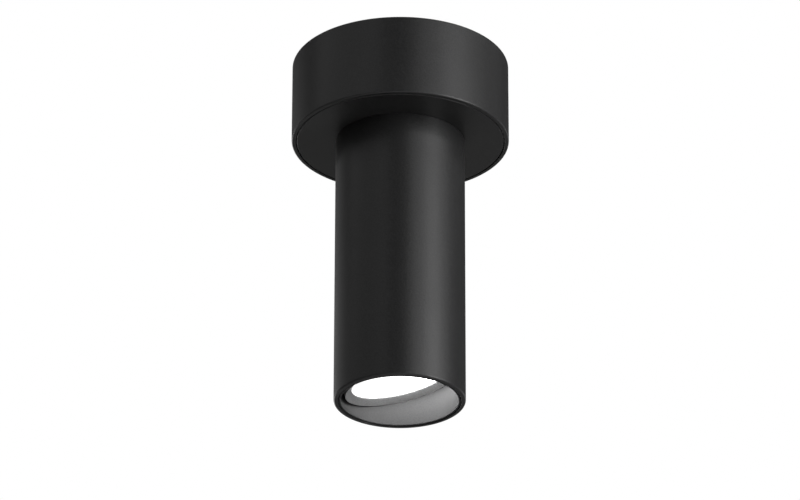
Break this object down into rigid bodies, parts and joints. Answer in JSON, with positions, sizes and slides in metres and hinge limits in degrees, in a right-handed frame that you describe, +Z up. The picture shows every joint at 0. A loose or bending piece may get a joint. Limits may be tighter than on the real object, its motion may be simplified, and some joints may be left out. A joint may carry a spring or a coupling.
{
  "type": "surface-mounted cylinder ceiling light",
  "caption": "Black cylinder downlight for ceilings: a round canopy, a straight tube, and a recessed lamp head that swivels and tilts inside the tube's mouth.",
  "frame": {"origin": "centre of the ceiling bracket's top face, on the ceiling plane and on the tube's axis", "axes": "+Z up along the tube's axis into the ceiling, +X along the line of the two ceiling slots, so the light hangs down along -Z; at rest the lamp points down and towards 25 degrees from +X to +Y"},
  "size_m": [0.101, 0.101, 0.1713],
  "materials": {
    "black_powder_coat": "satin fine-textured black powder coat",
    "black_anodised": "matt black with a fine bright fleck",
    "satin_anodised": "satin dark grey anodising",
    "blackened_steel": "black oxide",
    "zinc_steel": "bright zinc plate",
    "spring_steel": "plain spring steel",
    "turned_aluminium": "turned, uncoated",
    "turned_brass": "turned",
    "tinned_copper": "tin plate",
    "black_rubber": "matt",
    "white_moulding": "fine matt moulding",
    "natural_nylon": "translucent natural",
    "green_board": "solder mask",
    "coil_tape": "yellow winding tape",
    "capacitor_sleeve": "shrink sleeve",
    "bright_reflector": "vacuum-metallised",
    "opal_diffuser": "opal, lit",
    "white_ceramic": "white ceramic",
    "phosphor": "yellow phosphor",
    "grey_gap_pad": "matt",
    "brown_insulation": "smooth",
    "blue_insulation": "smooth",
    "green_yellow_insulation": "green with a yellow stripe",
    "black_lead_sheath": "smooth"
  },
  "bodies": {
    "fixture": {"anti_turn_pin": "zinc_steel", "base_plate": "black_powder_coat", "base_plate_screws": "zinc_steel", "bulkhead": "turned_aluminium", "bulkhead_screws": "zinc_steel", "bulkhead_stop_pin": "zinc_steel", "cable_grommet": "black_rubber", "canopy_shell": "black_powder_coat", "canopy_side_screws": "blackened_steel", "ceiling_bracket": "zinc_steel", "driver_board": "green_board", "driver_capacitors": "capacitor_sleeve", "driver_case": "white_moulding", "driver_lid": "white_moulding", "driver_screws": "zinc_steel", "driver_transformer": "coil_tape", "earth_lead": "green_yellow_insulation", "earth_screw": "zinc_steel", "earth_tag": "tinned_copper", "lamp_lead": "black_lead_sheath", "live_lead": "brown_insulation", "neutral_lead": "blue_insulation", "nipple_end_bush": "natural_nylon", "nipple_nuts": "zinc_steel", "nipple_washer": "zinc_steel", "swivel_spring_washer": "spring_steel", "terminal_block": "white_moulding", "terminal_fixing_screws": "zinc_steel", "terminal_screws": "turned_brass", "threaded_nipple": "zinc_steel", "tube_body": "black_powder_coat", "tube_cap_screws": "zinc_steel", "tube_top_cap": "turned_aluminium"},
    "swivel": {"swivel_nut": "zinc_steel", "swivel_slide_washer": "natural_nylon", "swivel_bush": "turned_brass", "swivel_end_bush": "natural_nylon", "rotor_plate": "turned_aluminium", "rotor_stop_pin": "zinc_steel", "bayonet_pins": "zinc_steel", "inner_sleeve": "black_anodised", "swivel_lead": "black_lead_sheath"},
    "lamp_head": {"lamp_housing": "satin_anodised", "tilt_pivot_pins": "blackened_steel", "tilt_washers": "natural_nylon", "diffuser": "opal_diffuser", "diffuser_gasket": "black_rubber", "reflector": "bright_reflector", "led_holder": "white_moulding", "led_holder_screws": "zinc_steel", "thermal_pad": "grey_gap_pad", "led_board": "white_ceramic", "led_emitter": "phosphor", "heat_sink": "turned_aluminium", "heat_sink_screws": "zinc_steel", "lead_clamp": "natural_nylon", "led_tail": "black_lead_sheath"}
  },
  "joints": [
    {"name": "sleeve_swivel", "type": "hinge", "parent": "fixture", "child": "swivel", "pos_m": [0, 0, -0.1583], "axis": [0, 0, 1], "range_deg": [-170, 170]},
    {"name": "head_tilt", "type": "hinge", "parent": "swivel", "child": "lamp_head", "pos_m": [0, 0, -0.1583], "axis": [0.4226, -0.9063, 0], "range_deg": [-15, 5], "deforming": ["swivel_lead"]}
  ]
}
